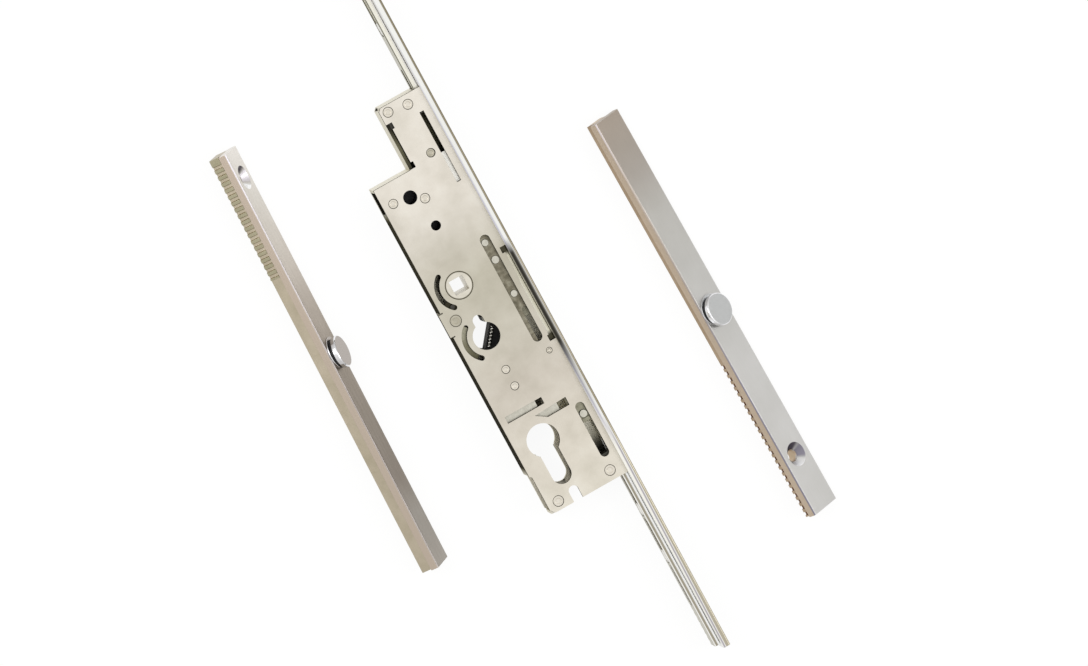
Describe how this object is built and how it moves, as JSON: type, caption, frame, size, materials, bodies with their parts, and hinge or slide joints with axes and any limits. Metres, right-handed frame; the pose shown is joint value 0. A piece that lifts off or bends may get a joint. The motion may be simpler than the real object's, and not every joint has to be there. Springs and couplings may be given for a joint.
{
  "type": "multipoint door lock",
  "caption": "Multipoint door lock kit: a gearbox with two followers and a toothed drive slide behind a long faceplate, and two loose locking bars with mushroom cams.",
  "frame": {"origin": "axis of the upper follower's spindle square, half way through the thickness of the case", "axes": "+X towards the front of the door edge, out of the faceplate; +Y up the lock, along the faceplate; +Z out of the cover plate, along the spindle. The kit lies on its back on a surface at z = -10 mm."},
  "size_m": [0.2103, 0.474, 0.0216],
  "materials": {
    "case_zinc": "zinc plated sheet",
    "cover_zinc": "zinc plated sheet, satin",
    "face_silver": "bright satin silver",
    "rivet_steel": "zinc plated",
    "dark_steel": "blackened",
    "black_plastic": "matt black moulding",
    "olive_zinc": "yellow passivated zinc",
    "spring_steel": "oiled spring wire",
    "follower_steel": "zinc plated",
    "black_steel": "black oxide",
    "rail_zinc": "yellow passivated zinc",
    "slide_steel": "yellow passivated zinc",
    "bar_silver": "satin silver, warm reflections",
    "rack_zinc": "yellow passivated zinc",
    "cam_chrome": "polished"
  },
  "bodies": {
    "case": {"back_case": "case_zinc", "cover_plate": "cover_zinc", "faceplate": "face_silver", "spacer_rivets": "rivet_steel", "head_rivet": "olive_zinc", "top_block": "dark_steel", "bottom_block": "dark_steel", "case_screws": "rivet_steel", "rail_guides": "rivet_steel", "screw_bushes": "black_plastic", "spring_stud": "olive_zinc", "brake_spring": "spring_steel"},
    "upper_follower": {"upper_follower": "follower_steel", "upper_stop_pin": "rivet_steel"},
    "lower_follower": {"lower_follower": "black_steel", "lower_cam_plate": "olive_zinc", "lower_follower_spring": "spring_steel"},
    "drive_slide": {"drive_rail": "rail_zinc", "rack_slide": "slide_steel", "slide_plate": "slide_steel", "slide_rivets": "rivet_steel", "lower_slide": "slide_steel", "lower_slide_pin": "rivet_steel"},
    "deadlock": {"deadlock_plate": "follower_steel"},
    "lower_bar": {"lower_bar_strip": "bar_silver", "lower_bar_rack": "rack_zinc", "lower_bar_rivets": "rivet_steel"},
    "lower_cam": {"lower_bar_cam": "cam_chrome", "lower_cam_washer": "black_plastic"},
    "upper_bar": {"upper_bar_strip": "bar_silver", "upper_bar_rack": "rack_zinc", "upper_bar_rivets": "rivet_steel"},
    "upper_cam": {"upper_bar_cam": "cam_chrome", "upper_cam_washer": "black_plastic"}
  },
  "joints": [
    {"name": "drive_slide", "type": "slide", "parent": "case", "child": "drive_slide", "axis": [0, 1, 0], "range_m": [-0.01857, 0]},
    {"name": "upper_follower_turn", "type": "hinge", "parent": "case", "child": "upper_follower", "pos_m": [0, 0, 0], "axis": [0, 0, 1], "range_deg": [-56.01, 0]},
    {"name": "lower_follower_turn", "type": "hinge", "parent": "case", "child": "lower_follower", "pos_m": [0, -0.03, 0], "axis": [0, 0, 1], "range_deg": [-56.01, 0]},
    {"name": "deadlock_slide", "type": "slide", "parent": "case", "child": "deadlock", "axis": [1, 0, 0], "range_m": [0, 0.0035]},
    {"name": "lower_bar_slide", "type": "slide", "parent": "case", "child": "lower_bar", "axis": [0.0236, 0.9997, 0], "range_m": [-0.01857, 0]},
    {"name": "lower_cam_turn", "type": "hinge", "parent": "lower_bar", "child": "lower_cam", "pos_m": [-0.07296, 0.00082, 0.00222], "axis": [0.8969, -0.0211, 0.4417], "range_deg": [-90, 90]},
    {"name": "upper_bar_slide", "type": "slide", "parent": "case", "child": "upper_bar", "axis": [-0.0183, 0.9998, 0], "range_m": [-0.01857, 0]},
    {"name": "upper_cam_turn", "type": "hinge", "parent": "upper_bar", "child": "upper_cam", "pos_m": [0.11169, -0.07752, 0.00026], "axis": [0.5899, 0.0108, 0.8074], "range_deg": [-90, 90]}
  ],
  "couplings": [
    {"joint": "upper_follower_turn", "follows": "drive_slide", "rad_per_m": 52.632},
    {"joint": "lower_follower_turn", "follows": "drive_slide", "rad_per_m": 52.632}
  ]
}
